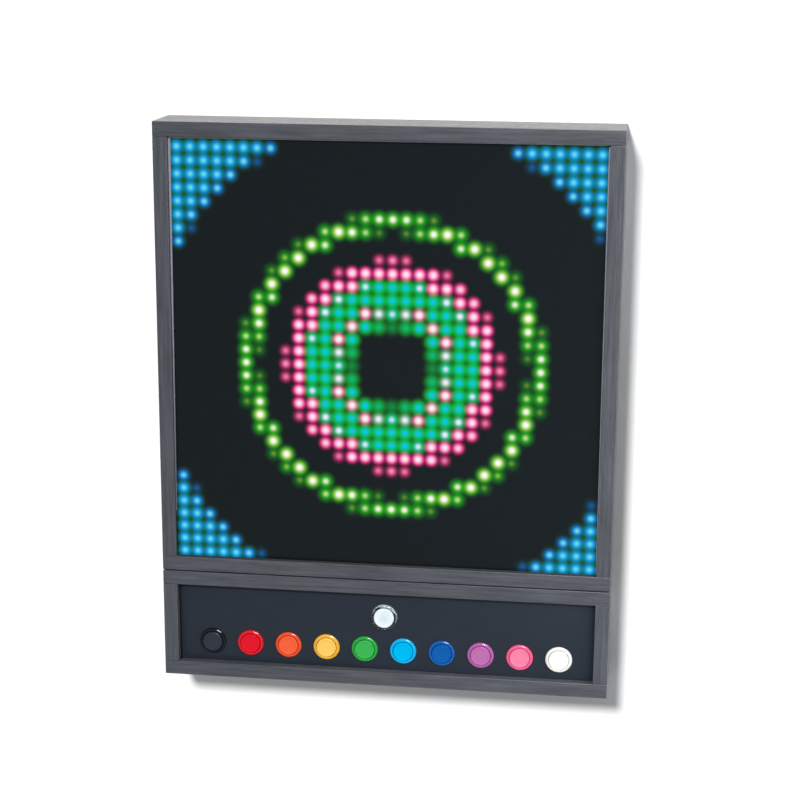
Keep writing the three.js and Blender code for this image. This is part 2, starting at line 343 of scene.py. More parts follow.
shade = maths(laminate_grain, "ADD", streaks, maths(laminate_grain, "MULTIPLY", cloudy.outputs["Fac"], 0.15))
centred = maths(laminate_grain, "MULTIPLY", maths(laminate_grain, "SUBTRACT", shade, 0.5), g_in["Strength"])
laminate_grain.links.new(maths(laminate_grain, "ADD", centred, 0.5), g_out["Shade"])
laminate_grain.links.new(streaks, g_out["Height"])
print("laminate_grain:", len(laminate_grain.nodes), "nodes")

# %% [markdown]
# ## Effect: worn edges
# Handling polishes and lightens the arrises of a board first. For a straight piece, the distance
# from a point to the nearest edge is the middle one of its three distances to the faces, so the
# group works that out from the piece's two corners and breaks it up with noise.

# %% Edge wear group
edge_wear, g_in, g_out = effect_group(
    "edge_wear",
    {"Low corner": ("Vector", (0, 0, 0)), "High corner": ("Vector", (1, 1, 1)), "Width": ("Float", 0.0012)},
    {"Worn": "Float"},
)
place = node(edge_wear, "ShaderNodeTexCoord").outputs["Object"]
from_low = vector_maths(edge_wear, "SUBTRACT", place, g_in["Low corner"])
from_high = vector_maths(edge_wear, "SUBTRACT", g_in["High corner"], place)
to_sides = vector_maths(edge_wear, "MINIMUM", from_low, from_high)
nearest = node(edge_wear, "ShaderNodeSeparateXYZ", {0: to_sides})
dx, dy, dz = nearest.outputs
middle = maths(edge_wear, "MAXIMUM", maths(edge_wear, "MINIMUM", dx, dy),
               maths(edge_wear, "MINIMUM", maths(edge_wear, "MAXIMUM", dx, dy), dz))
ragged = node(edge_wear, "ShaderNodeTexNoise", {"Vector": place, "Scale": 160.0, "Detail": 3.0})
reach = maths(edge_wear, "MULTIPLY", g_in["Width"],
              remap(edge_wear, ragged.outputs["Fac"], 0.35, 0.7, 0.25, 1.4))
near_edge = maths(edge_wear, "SUBTRACT", 1.0, maths(edge_wear, "DIVIDE", middle, reach), clamp=True)
edge_wear.links.new(near_edge, g_out["Worn"])
print("edge_wear:", len(edge_wear.nodes), "nodes")

# %% [markdown]
# ## Effect: dust and painted sheen
# Dust lies on what faces up. The group multiplies how far a surface faces up by a patchy noise,
# and each finish decides how much of it to show. The top board takes so much that its pale mix
# also stands for the sheen its top catches: there it is partly dust and partly painted sheen.

# %% Dust and painted sheen group
dust_and_sheen, g_in, g_out = effect_group(
    "dust_and_sheen", {"Amount": ("Float", 0.5), "Patch size": ("Float", 40.0)}, {"Dust": "Float"},
)
facing = node(dust_and_sheen, "ShaderNodeNewGeometry").outputs["Normal"]
upward = remap(dust_and_sheen, node(dust_and_sheen, "ShaderNodeSeparateXYZ", {0: facing}).outputs["Z"], 0.8, 1.0)
place = node(dust_and_sheen, "ShaderNodeTexCoord").outputs["Object"]
patches = node(dust_and_sheen, "ShaderNodeTexNoise",
               {"Vector": place, "Scale": g_in["Patch size"], "Detail": 5.0, "Roughness": 0.75})
patchy = remap(dust_and_sheen, patches.outputs["Fac"], 0.3, 0.75)
upward_dust_and_sheen = maths(dust_and_sheen, "MULTIPLY", maths(dust_and_sheen, "MULTIPLY", upward, patchy), g_in["Amount"])
dust_and_sheen.links.new(upward_dust_and_sheen, g_out["Dust"])
print("dust_and_sheen:", len(dust_and_sheen.nodes), "nodes")

# %% [markdown]
# ## Effect: moulded skin
# Injection-moulded parts have a faint orange peel and tiny scuffs. A soft noise gives the peel's
# height, and a few thin, sparse scratches roughen the gloss.

# %% Moulded skin group
moulded_skin, g_in, g_out = effect_group(
    "moulded_skin",
    {"Gloss": ("Float", 0.2), "Scuffs": ("Float", 0.3), "Peel size": ("Float", 500.0)},
    {"Roughness": "Float", "Height": "Float", "Tone": "Float"},
)
place = node(moulded_skin, "ShaderNodeTexCoord").outputs["Object"]
peel = node(moulded_skin, "ShaderNodeTexNoise", {"Vector": place, "Scale": g_in["Peel size"], "Detail": 2.0})
scratch_place = vector_maths(moulded_skin, "MULTIPLY", place, (900.0, 200.0, 140.0))
scratch = node(moulded_skin, "ShaderNodeTexNoise",
               {"Vector": scratch_place, "Scale": 1.0, "Detail": 5.0, "Distortion": 1.5})
sparse = remap(moulded_skin, scratch.outputs["Fac"], 0.58, 0.75)
rougher = maths(moulded_skin, "MULTIPLY", sparse, g_in["Scuffs"])
moulded_skin.links.new(maths(moulded_skin, "ADD", g_in["Gloss"], rougher, clamp=True), g_out["Roughness"])
moulded_skin.links.new(peel.outputs["Fac"], g_out["Height"])
tone = node(moulded_skin, "ShaderNodeTexNoise", {"Vector": place, "Scale": 60.0, "Detail": 2.0})
moulded_skin.links.new(tone.outputs["Fac"], g_out["Tone"])
print("moulded_skin:", len(moulded_skin.nodes), "nodes")

# %% [markdown]
# ## Plain moulded and plated finishes
# Many small parts want no more than this skin and a colour that drifts a little over the part, so
# one helper makes such a finish. Some solids of the frame are right as they are and only need a
# finish, which the second helper gives them.

# %% Finish helpers
def skinned_finish(name, low, high, surface, **values):
    """A finish whose colour drifts from low to high; surface holds the skin group's inputs."""
    finish, tree, shader = new_finish(name, **values)
    skin = placed(tree, moulded_skin, surface)
    tree.links.new(skin["Roughness"], shader.inputs["Roughness"])
    tree.links.new(mix_colour(tree, skin["Tone"], low, high), shader.inputs["Base Color"])
    return finish


def dressed(node_name, finish):
    """Gives a solid of the frame a finish of its own, and gives the solid back."""
    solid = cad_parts[node_name]
    solid.data.materials.clear()
    solid.data.materials.append(finish)
    return solid


print("finish helpers ready")

# %% [markdown]
# ## Effect: one lamp's glow
# Each light behind the smoked sheet shows as a soft disc with a small bright heart. Its colour
# depends only on which ring of the pattern it is in: dark centre, green, rose, a yellow-green
# ring, then blue in the corners. Two colour ramps hold the rings, one for the disc and one for
# its heart, by distance from the pattern's centre. The group is placed four times, once for each
# of the lamps round a point, so that neighbouring glows run into each other as real ones do.

# %% Rings of the pattern
LAMPS = 32
PATTERN_CENTRE = (16.0, 0.0, 15.0)  # lamp that the rings are drawn round, counted from the lower left
RAMP_REACH = 20.0  # lamps covered by a ramp
RAMP_TOP = 4.0  # brightest value in a ramp, which holds 0 to 1
# Each glow is the colour of a lamp's disc and the colour of its heart.
DARK = ((0, 0, 0), (0, 0, 0))
LEAF_DIM = ((0, 0.4, 0.1), (0, 0.3, 0))
LEAF = ((0, 0.8, 0.35), (0, 0, 1.3))
LEAF_WHITE = ((0, 0.5, 0.4), (2, 1.5, 2.6))
ROSE = ((4, 0, 0.9), (0, 1.7, 1.7))
ROSE_PALE = ((2.5, 0, 0.8), (1, 2.4, 2.4))
ROSE_DIM = ((1, 0, 0.25), (1.5, 0.3, 0.5))
LIME = ((0.8, 0.8, 0.15), (3.2, 2.6, 3.2))
LIME_SMALL = ((0.1, 0.5, 0), (3, 2, 2.2))
LIME_DIM = ((0, 0.3, 0), (0.5, 0.7, 0.1))
SKY_DIM = ((0, 0.03, 0.2), (0, 0.1, 0.2))
SKY_EDGE = ((0, 0.1, 1.2), (0.25, 1, 0.5))
SKY = ((0, 0.3, 1.8), (0.2, 0.8, 0))
rings = [  # radius in lamps, and the glow there
    (2.9, DARK), (3.15, LEAF_DIM), (3.6, LEAF), (3.9, LEAF), (4.1, LEAF_WHITE),
    (4.3, ROSE_PALE), (4.5, ROSE_PALE), (4.8, LEAF), (6.2, LEAF), (6.4, LEAF_WHITE),
    (6.7, ROSE), (7.6, ROSE), (8.0, ROSE_DIM), (8.2, DARK),
    (10.0, DARK), (10.2, LIME_DIM), (10.4, LIME_SMALL), (10.6, LIME), (10.8, LIME),
    (11.0, LIME_SMALL), (11.2, LIME_DIM), (11.5, DARK),
    (17.95, DARK), (18.05, SKY_DIM), (18.4, SKY_EDGE), (19.0, SKY),
]


def ring_ramp(tree, radius, which):
    """A colour ramp over the rings; which is 0 for the discs and 1 for their hearts."""
    ramp = node(tree, "ShaderNodeValToRGB", {0: maths(tree, "DIVIDE", radius, RAMP_REACH)})
    stops = ramp.color_ramp.elements
    while len(stops) < len(rings):
        stops.new(0.5)
    for stop, ring in zip(stops, rings):
        stop.position = ring[0] / RAMP_REACH
    for stop, ring in zip(sorted(stops, key=lambda s: s.position), rings):
        stop.color = (*[v / RAMP_TOP for v in ring[1][which]], 1.0)
    return ramp.outputs["Color"]


print("rings in the pattern:", len(rings))

# %% Lamp glow group
lamp_glow, g_in, g_out = effect_group(
    "lamp_glow", {"Cell": ("Vector", (0, 0, 0)), "Corner": ("Vector", (0, 0, 0))}, {"Light": "Vector"},
)
lamp = vector_maths(lamp_glow, "ADD", vector_maths(lamp_glow, "FLOOR", g_in["Cell"]), g_in["Corner"])
away = vector_maths(lamp_glow, "DISTANCE", g_in["Cell"], lamp, output="Value")
ring_radius = vector_maths(lamp_glow, "DISTANCE", lamp, PATTERN_CENTRE, output="Value")
middle_cell = ((LAMPS - 1) / 2, 0.0, (LAMPS - 1) / 2)
off_middle = vector_maths(lamp_glow, "ABSOLUTE", vector_maths(lamp_glow, "SUBTRACT", lamp, middle_cell))
across, _, up = node(lamp_glow, "ShaderNodeSeparateXYZ", {0: off_middle}).outputs
lamp_there = maths(lamp_glow, "LESS_THAN", maths(lamp_glow, "MAXIMUM", across, up), LAMPS / 2)


def fall(width, power):
    """How a glow fades with distance from its lamp, 1 at the lamp itself."""
    share = maths(lamp_glow, "POWER", maths(lamp_glow, "DIVIDE", away, width), power)
    return maths(lamp_glow, "EXPONENT", maths(lamp_glow, "MULTIPLY", -1.0, share))


def channel_falls(red, green, blue, power):
    """The fade of each channel; red light spreads least, and green light most."""
    falls = {0: fall(red, power), 1: fall(green, power), 2: fall(blue, power)}
    return node(lamp_glow, "ShaderNodeCombineXYZ", falls).outputs[0]


rim_fall = maths(lamp_glow, "SUBTRACT", 1.0, maths(lamp_glow, "POWER", away, 4.0), clamp=True)
disc = scaled(lamp_glow, vector_maths(lamp_glow, "MULTIPLY", ring_ramp(lamp_glow, ring_radius, 0),
                                      channel_falls(0.37, 0.52, 0.38, 3.0)), rim_fall)
heart = vector_maths(lamp_glow, "MULTIPLY", ring_ramp(lamp_glow, ring_radius, 1),
                     channel_falls(0.16, 0.22, 0.17, 2.0))
both = scaled(lamp_glow, vector_maths(lamp_glow, "ADD", disc, heart), RAMP_TOP)
lamp_glow.links.new(scaled(lamp_glow, both, lamp_there), g_out["Light"])
print("lamp_glow:", len(lamp_glow.nodes), "nodes")

# %% [markdown]
# ## Finish: the laminated boards
# The boards are a dark blue-grey laminate with a satin sheen that turns pale at a glancing angle,
# as the top of the box shows. The top board's top face is made paler still by a thick pale mix on
# what faces up, which is partly dust and partly painted sheen. The grain follows each board, so
# the rails' streaks lie flat and the stiles' stand up. Each board gets its own copy with its own
# corners for the edge wear.

# %% Laminate finish
LAMINATE_DARK = (0.017, 0.0195, 0.025, 1)
LAMINATE_LIGHT = (0.074, 0.079, 0.0945, 1)


def laminate_finish(name, low, high, upright, dust_and_sheen_amount):
    """The laminate for one board, between its corners, with its streaks upright or level."""
    finish, tree, shader = new_finish(name, Specular_IOR_Level=0.62, IOR=1.5)
    stretch = (260.0, 200.0, 11.0) if upright else (11.0, 200.0, 260.0)
    grain = placed(tree, laminate_grain, {"Stretch": stretch, "Strength": 2.4})
    corners = {"Low corner": low * MM, "High corner": high * MM, "Width": 0.0011}
    worn = placed(tree, edge_wear, corners)["Worn"]
    dust_and_sheen_mask = placed(tree, dust_and_sheen, {"Amount": dust_and_sheen_amount, "Patch size": 110.0})["Dust"]
    colour = mix_colour(tree, grain["Shade"], LAMINATE_DARK, LAMINATE_LIGHT)
    colour = mix_colour(tree, maths(tree, "MULTIPLY", worn, 0.08), colour, (0.2, 0.2, 0.22, 1))
    # Pale mix on upward faces: dust, and on the top board also painted sheen.
    colour = mix_colour(tree, dust_and_sheen_mask, colour, (0.32, 0.31, 0.29, 1))
    tree.links.new(colour, shader.inputs["Base Color"])
    tree.links.new(remap(tree, grain["Height"], 0.25, 0.6, 0.36, 0.48), shader.inputs["Roughness"])
    relief = node(tree, "ShaderNodeBump", {"Height": grain["Height"], "Strength": 0.25, "Distance": 0.0002})
    tree.links.new(relief.outputs["Normal"], shader.inputs["Normal"])
    return finish


print("laminate finish ready")

# %% [markdown]
# ## Boards
# Each box is four 18 mm boards: rails across the full width and stiles standing between them.
# A board is cut square, then its front is covered with a thin band of the same laminate, whose
# outer edges are rounded. The two middle rails are cut back behind to let one rear cover pass,
# and the bottom rail is routed for the power inlet. Drawing body and band apart leaves the fine
# joint line that a real banded board shows.

# %% Build the boards
BAND = 0.9  # thickness of the front edge band
BAND_JOINT = 0.06
EDGE = 0.8  # rounding of the band's outer edges


def back_edges(shape, y_front):
    """Picks every edge that isn't on the banded front."""
    return lambda e: not all(v.co.y < y_front + 0.01 for v in e.verts)


for node_name in sorted(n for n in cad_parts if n.endswith(("_rail", "_stile"))):
    low, high = solid_box(node_name)
    upright = node_name.endswith("_stile")
    body_front = low.y + BAND + BAND_JOINT
    if node_name in ("display_bottom_rail", "control_top_rail"):
        cover_low, cover_high = solid_box("rear_cover")
        x_in = high.x - 18.0
        y_cut = cover_low.y - 0.4
        outline = [(low.x, body_front), (high.x, body_front), (high.x, high.y), (x_in, high.y), (x_in, y_cut),
                   (-x_in, y_cut), (-x_in, high.y), (low.x, high.y)]
        board = prism(outline, low.z, high.z, "z")
    else:
        board = block((low.x, body_front, low.z), high)
    ease(board, 0.25, 2, back_edges(board, body_front))
    if node_name == "control_bottom_rail":
        inlet_low, inlet_high = solid_box("power_inlet")
        hole_x = (inlet_low.x + inlet_high.x) / 2
        board = cut_out(board, [
            block((hole_x - 14.0, -10.5, -5), (hole_x + 14.0, 10.5, 25)),
            block((hole_x - 16.0, -12.5, -5), (hole_x + 16.0, 12.5, 5.0)),
        ])
    top_board = node_name == "display_top_rail"  # the only board whose top shows; its thick pale mix is partly dust and partly painted sheen
    finish = laminate_finish("laminate_" + node_name, low, high, upright, 0.9 if top_board else 0.12)
    add_piece(node_name + "_board", board, finish, stands_for=[node_name])
    band = block(low, (high.x, low.y + BAND, high.z))
    ease(band, EDGE, 4, lambda e, y=low.y: all(v.co.y < y + 0.01 for v in e.verts))
    add_piece(node_name + "_band", band, finish)

# %% [markdown]
# ## Seam between the boxes
# A thin near-black strip sits in the gap between the two boxes, set back from the front. Its colour
# is painted shadow, standing for the shade deep in the join, so that the join reads as one clean
# shadow line and lets no light through.

# %% Seam strip
# Near-black: painted shadow for the shade deep in the join.
seam_shadow_finish, tree, shader = new_finish("seam_painted_shadow", Roughness=0.9)
shadow_mottle = node(tree, "ShaderNodeTexNoise", {"Scale": 900.0, "Detail": 4.0})
tree.links.new(mix_colour(tree, shadow_mottle.outputs["Fac"], (0.003, 0.003, 0.004, 1), (0.010, 0.010, 0.012, 1)),
               shader.inputs["Base Color"])
seam_low, seam_high = solid_box("control_top_rail")[1], solid_box("display_bottom_rail")[0]
front_y, back_y = solid_box("display_top_rail")[0].y, solid_box("display_top_rail")[1].y
half_width = seam_low.x
SEAM_INSET, SEAM_SETBACK, SEAM_CLEARANCE = 2.5, 1.2, 0.05
seam = block((-half_width + SEAM_INSET, front_y + SEAM_SETBACK, seam_low.z + SEAM_CLEARANCE),
             (half_width - SEAM_INSET, back_y - 20, seam_high.z - SEAM_CLEARANCE))
add_piece("seam_shadow_strip", ease(seam, 0.2, 2), seam_shadow_finish)
print("seam:", round(seam_high.z - seam_low.z, 2), "mm high")

# %% [markdown]
# ## Smoked front sheet
# The display's face is a 4 mm sheet of smoked acrylic that looks almost black until a lamp lights
# it. Real light could be sent through tinted glass, but 1024 small lights behind an absorbing
# sheet would be slow and noisy. Instead the glow is put on the sheet itself as emission, worked
# out from the lamps' positions, over a dark glossy base.

# %% Smoked sheet finish
LAMP_PITCH = 16.6
ARRAY_X, ARRAY_Z = 0.5, 425.1  # middle of the lamps
to_end = 15.5 * LAMP_PITCH  # from the middle to the outermost row
lamp_origin = Vector((ARRAY_X - to_end, 0, ARRAY_Z - to_end))  # lowest lamp on the left

smoked_finish, tree, shader = new_finish(
    "smoked_sheet", IOR=1.49, Specular_IOR_Level=0.2, Emission_Strength=1.0,
)
place = node(tree, "ShaderNodeTexCoord").outputs["Object"]
from_first = vector_maths(tree, "SUBTRACT", place, lamp_origin * MM)
cells = vector_maths(tree, "DIVIDE", vector_maths(tree, "MULTIPLY", from_first, (1, 0, 1)),
                     (LAMP_PITCH * MM, 1.0, LAMP_PITCH * MM))
light = None
for corner in ((0, 0, 0), (1, 0, 0), (0, 0, 1), (1, 0, 1)):
    glow = placed(tree, lamp_glow, {"Cell": cells, "Corner": corner})["Light"]
    light = glow if light is None else vector_maths(tree, "ADD", light, glow)
channels = node(tree, "ShaderNodeSeparateXYZ", {0: light}).outputs
# Each channel rises with its light and levels out at full brightness.
shown = [
    maths(tree, "SUBTRACT", 1.0, maths(tree, "EXPONENT", maths(tree, "MULTIPLY", channel, -1.0)))
    for channel in channels
]
emitted = node(tree, "ShaderNodeCombineXYZ", dict(enumerate(shown))).outputs[0]
tree.links.new(emitted, shader.inputs["Emission Color"])
skin = placed(tree, moulded_skin, {"Gloss": 0.16, "Scuffs": 0.1, "Peel size": 120.0})
tree.links.new(skin["Roughness"], shader.inputs["Roughness"])
sheet_grey = mix_colour(tree, skin["Tone"], (0.0035, 0.0060, 0.0072, 1), (0.0045, 0.0072, 0.0086, 1))
# Where a lamp shines, its pure colour swamps the sheet's own faint grey.
swamped = remap(tree, vector_maths(tree, "LENGTH", light, output="Value"), 0.1, 0.6)
tree.links.new(mix_colour(tree, swamped, sheet_grey, (0, 0, 0, 1)), shader.inputs["Base Color"])
print("first lamp at", [round(v, 1) for v in lamp_origin], "mm")

# %% Smoked sheet
low, high = solid_box("front_sheet")
sheet = ease(block(low, high), 0.5, 3)
add_piece("smoked_sheet", sheet, smoked_finish, stands_for=["front_sheet"])
print("sheet:", [round(v, 1) for v in high - low], "mm")

# %% [markdown]
# ## Glazing beads
# Slim grey beads hold the sheet against the boards. Their pale grey is painted sheen: it stands for
# the glow and sheen that the boards' inner faces catch, and shows as thin light lines just inside
# the frame. The beads are drawn as wedges, so the lines are wider at the top left and hair-thin by
# the lower corners.

# %% Bead finish and beads
# Pale grey: painted sheen for the light caught by the boards' inner faces.
bead_sheen_finish = skinned_finish("bead_painted_sheen", (0.15, 0.16, 0.19, 1), (0.20, 0.21, 0.24, 1),
                             {"Gloss": 0.3, "Scuffs": 0.2, "Peel size": 300.0}, Specular_IOR_Level=0.5)

inner_x = high.x + 0.5
sheet_front = low.y
bead_front, bead_back = sheet_front - 3.2, sheet_front - 0.15
opening_low, opening_high = low.z - 0.5, high.z + 0.5
edge_gap = 0.15
left = -inner_x + edge_gap
right = inner_x - edge_gap
left_bead = prism([(left, opening_low + 60), (left + 0.7, opening_low + 60), (left + 3.4, opening_high - 2.6),
                   (left, opening_high - 2.6)], bead_front, bead_back, "y")
right_bead = prism([(right - 0.8, opening_low + 2), (right, opening_low + 2), (right, opening_high - 2.6),
                    (right - 1.9, opening_high - 2.6)], bead_front, bead_back, "y")
top_bead = prism([(left, opening_high - 2.2), (right, opening_high - 0.9), (right, opening_high - 0.15),
                  (left, opening_high - 0.15)], bead_front, bead_back, "y")
for name, shape in (("left", left_bead), ("right", right_bead), ("top", top_bead)):
    add_piece(name + "_glazing_bead", ease(shape, 0.25, 2), bead_sheen_finish)
print("beads made: 3, in an opening", round(right - left, 1), "mm wide")

# %% [markdown]
# ## Sheet gasket
# There is no bead along the bottom. A dark foam strip lies on the bottom board against the sheet
# instead. Without it the board's pale top edge would show as a lit ledge under the glow.

# %% Gasket
gasket_finish, tree, shader = new_finish("gasket_foam", Roughness=0.85)
cells = node(tree, "ShaderNodeTexNoise", {"Scale": 1200.0, "Detail": 3.0})
tree.links.new(mix_colour(tree, cells.outputs["Fac"], (0.004, 0.004, 0.005, 1), (0.012, 0.012, 0.014, 1)),
               shader.inputs["Base Color"])
gasket = block((left, sheet_front - 4.4, opening_low + 0.1), (right, sheet_front - 0.15, opening_low + 0.75))
add_piece("sheet_gasket", ease(gasket, 0.15, 2), gasket_finish)
print("gasket:", round(right - left, 1), "mm long")

# %% [markdown]
# ## Light tray
# Behind the sheet is a white pan. Thirty-two strips are stuck in it side by side, each with
# thirty-two square lights, so every ring of the pattern has a real lamp behind it.

# %% Light tray, strips and lamps
white_finish = skinned_finish("white_tray_paint", (0.66, 0.66, 0.63, 1), (0.72, 0.72, 0.69, 1),
                              {"Gloss": 0.5, "Scuffs": 0.15, "Peel size": 200.0})
dressed("light_tray", white_finish)

TRAY_THICKNESS = 3.0
tray_floor = solid_box("light_tray")[1].y - TRAY_THICKNESS
strips, lamps = [], []
for row in range(LAMPS):
    z = lamp_origin.z + row * LAMP_PITCH
    strips.append(block((lamp_origin.x - 6, tray_floor - 0.5, z - 5),
                        (lamp_origin.x + 521, tray_floor - 0.1, z + 5)))
    for column in range(LAMPS):
        x = lamp_origin.x + column * LAMP_PITCH
        lamps.append(block((x - 2.5, tray_floor - 2.1, z - 2.5), (x + 2.5, tray_floor - 0.6, z + 2.5)))
strip_finish = skinned_finish("strip_mask", (0.012, 0.014, 0.013, 1), (0.02, 0.022, 0.021, 1),
                              {"Gloss": 0.35, "Scuffs": 0.2})
lens_finish = skinned_finish("lamp_lens", (0.7, 0.71, 0.66, 1), (0.8, 0.8, 0.76, 1),
                             {"Gloss": 0.12, "Scuffs": 0.1})
add_piece("light_strips", join(strips), strip_finish)
add_piece("lamp_packages", join(lamps), lens_finish)
print("lamps made:", LAMPS * LAMPS)

# %% [markdown]
# ## Button panel
# The control box is closed by a 4 mm sheet of dark blue-grey satin acrylic, bored for eleven
# push buttons. It sits well back, so the boards throw a soft shadow round its edges.

# %% Button panel
BUTTONS = ["black", "red", "orange", "yellow", "green", "cyan", "blue", "violet", "pink", "white", "mode"]
centres = {}
for name in BUTTONS:
    rim_low, rim_high = solid_box("bezel_" + name)
    centres[name] = Vector(((rim_low.x + rim_high.x) / 2, 0, (rim_low.z + rim_high.z) / 2))
panel_low, panel_high = solid_box("button_panel")
PANEL_Y = panel_low.y

panel_finish, tree, shader = new_finish("panel_acrylic", Specular_IOR_Level=0.3)
skin = placed(tree, moulded_skin, {"Gloss": 0.38, "Scuffs": 0.12, "Peel size": 700.0})
tree.links.new(skin["Roughness"], shader.inputs["Roughness"])
dust_and_sheen_mask = placed(tree, dust_and_sheen, {"Amount": 0.4, "Patch size": 60.0})["Dust"]
colour = mix_colour(tree, skin["Tone"], (0.0105, 0.0148, 0.0222, 1), (0.0130, 0.0178, 0.0260, 1))
tree.links.new(mix_colour(tree, dust_and_sheen_mask, colour, (0.2, 0.2, 0.2, 1)), shader.inputs["Base Color"])
relief = node(tree, "ShaderNodeBump", {"Height": skin["Height"], "Strength": 0.08, "Distance": 0.0001})
tree.links.new(relief.outputs["Normal"], shader.inputs["Normal"])

bores = [
    turned([(0, 6), (15.1, 6), (15.1, -10), (0, -10)], (c.x, PANEL_Y, c.z), closed=False, sides=64)
    for c in centres.values()
]
panel = cut_out(ease(block(panel_low, panel_high), 0.35, 2), bores)
add_piece("button_panel_sheet", panel, panel_finish, stands_for=["button_panel"])
print("panel bored for", len(bores), "buttons")

# %% [markdown]
# ## Finish: button plastics
# Each button has a glossy rim and a satin plunger of nearly the same colour. The plastic is
# coloured all through and a little translucent, so light that enters comes out warmer at the
# edges; a small share of subsurface scattering does that.

# %% Button finishes
def plastic_finish(name, colour, gloss, scuffs, depth=0.0, sheen=(1, 1, 1, 1)):
    finish, tree, shader = new_finish(name, IOR=1.49, Specular_IOR_Level=0.5, Subsurface_Weight=depth,
                                      Subsurface_Scale=0.0015, Specular_Tint=sheen)
    skin = placed(tree, moulded_skin, {"Gloss": gloss, "Scuffs": scuffs, "Peel size": 420.0})
    tree.links.new(skin["Roughness"], shader.inputs["Roughness"])
    darker = tuple(c * 0.93 for c in colour[:3]) + (1,)
    tree.links.new(mix_colour(tree, skin["Tone"], darker, colour), shader.inputs["Base Color"])
    relief = node(tree, "ShaderNodeBump", {"Height": skin["Height"], "Strength": 0.05, "Distance": 0.0001})
    tree.links.new(relief.outputs["Normal"], shader.inputs["Normal"])
    return finish


RIM_COLOURS = {
    "black": (7, 10, 19), "red": (191, 18, 32), "orange": (205, 66, 36), "yellow": (206, 152, 46),
    "green": (32, 139, 48), "cyan": (0, 150, 198), "blue": (12, 76, 144), "violet": (151, 77, 138),
    "pink": (200, 78, 120), "white": (202, 202, 198),
}
PLUNGER_COLOURS = {
    "black": (36, 41, 49), "red": (193, 21, 36), "orange": (208, 84, 51), "yellow": (214, 172, 84),
    "green": (50, 150, 70), "cyan": (0, 153, 200), "blue": (14, 76, 142), "violet": (154, 90, 140),
    "pink": (200, 107, 138), "white": (210, 210, 207),
}
print("button colours:", len(RIM_COLOURS))

# %% [markdown]
# ## Rims and plungers
# A button is two mouldings: a barrel whose rounded rim rests on the panel, and a hollow cap that
# slides in it and presses a switch. Both are turned from their real sections, with the groove
# between them left open, because that thin dark ring is what makes a button read as one.

# %% Turn the buttons
RIM = 17.0
BARREL, BARREL_BORE = 14.7, 13.4
LIP = 12.8
PLUNGER = 12.55
BARREL_END, FLOOR_TOP = -22.0, -20.0
SWITCH_FACE = BARREL_END - 0.3
STEM_END = SWITCH_FACE + 3.4
CAP_FACE, CAP_UNDERSIDE = 5.3, 2.1

rim_section = [
    (RIM, 0.3, 0.2), (RIM, 1.5, 0.8), (16.1, 2.9, 1.0), (14.9, 3.5, 1.0),
    (LIP + 0.8, 3.2, 0.6), (LIP, 2.4, 0.6), (LIP, -3.0, 0.2),
    (BARREL_BORE, -3.0), (BARREL_BORE, FLOOR_TOP, 0.4), (4.2, FLOOR_TOP, 0.3), (4.2, BARREL_END, 0.3),
    (BARREL, BARREL_END, 0.6), (BARREL, 0.3),
]
plunger_section = [
    (0, STEM_END), (3.4, STEM_END, 0.6), (3.4, CAP_UNDERSIDE, 0.4),
    (11.2, CAP_UNDERSIDE, 0.5), (11.2, -5.5, 0.2),
    (13.0, -5.5, 0.2), (13.0, -3.3, 0.2), (PLUNGER, -3.3, 0.1), (PLUNGER, CAP_FACE - 0.15, 1.1),
    (10.4, CAP_FACE, 0.7), (9.5, CAP_FACE - 0.5, 0.8), (0, CAP_FACE - 0.5),
]
rims, plungers = {}, {}
for name in BUTTONS[:-1]:
    place = (centres[name].x, PANEL_Y, centres[name].z)
    gloss_finish = plastic_finish(name + "_rim_gloss", from_srgb(*RIM_COLOURS[name]), 0.14, 0.1, 0.1)
    cap_colour = from_srgb(*PLUNGER_COLOURS[name])
    cap_sheen = tuple(c / max(cap_colour[:3]) for c in cap_colour[:3]) + (1,)
    satin_finish = plastic_finish(name + "_cap_satin", cap_colour, 0.3, 0.14, 0.1, cap_sheen)
    rims[name] = add_piece(name + "_rim", turned(rim_section, place), gloss_finish,
                           stands_for=["bezel_" + name])
    plungers[name] = add_piece(name + "_cap", turned(plunger_section, place, closed=False), satin_finish,
                               body=name + "_button", stands_for=["plunger_" + name])
print("coloured buttons turned:", len(rims))

# %% [markdown]
# ## The clear button
# The eleventh button has a clear rim and a white cap lit from inside. The rim is true glass-like
# plastic, so it bends the dark panel into the bright and dark crescents that clear plastic shows.
# The cap's glow is a little dimmer in its middle than at its edge.

# %% Clear rim and lit cap
clear_finish = skinned_finish("clear_plastic", (0.86, 0.9, 0.91, 1), (0.93, 0.95, 0.96, 1),
                              {"Gloss": 0.03, "Scuffs": 0.05, "Peel size": 300.0},
                              IOR=1.49, Transmission_Weight=1.0)

lit_finish, tree, shader = new_finish("lit_cap", IOR=1.49, Emission_Strength=1.0)
centre = centres["mode"]
middle = (centre.x * MM, (PANEL_Y - CAP_FACE) * MM, centre.z * MM)
place = node(tree, "ShaderNodeTexCoord").outputs["Object"]
off_centre = vector_maths(tree, "DISTANCE", place, middle, output="Value")
spread = remap(tree, off_centre, 0.002, 0.0115)
glow = mix_colour(tree, spread, (0.12, 0.21, 0.25, 1), (0.28, 0.34, 0.36, 1))
tree.links.new(glow, shader.inputs["Emission Color"])
skin = placed(tree, moulded_skin, {"Gloss": 0.28, "Scuffs": 0.1})
tree.links.new(skin["Roughness"], shader.inputs["Roughness"])
tree.links.new(mix_colour(tree, skin["Tone"], (0.34, 0.36, 0.36, 1), (0.38, 0.40, 0.40, 1)),
               shader.inputs["Base Color"])

place = (centre.x, PANEL_Y, centre.z)
add_piece("mode_rim", turned(rim_section, place), clear_finish, stands_for=["bezel_mode"])
add_piece("mode_cap", turned(plunger_section, place, closed=False), lit_finish,
          body="mode_button", stands_for=["plunger_mode"])
print("clear button at", round(centre.z, 1), "mm above the underside")

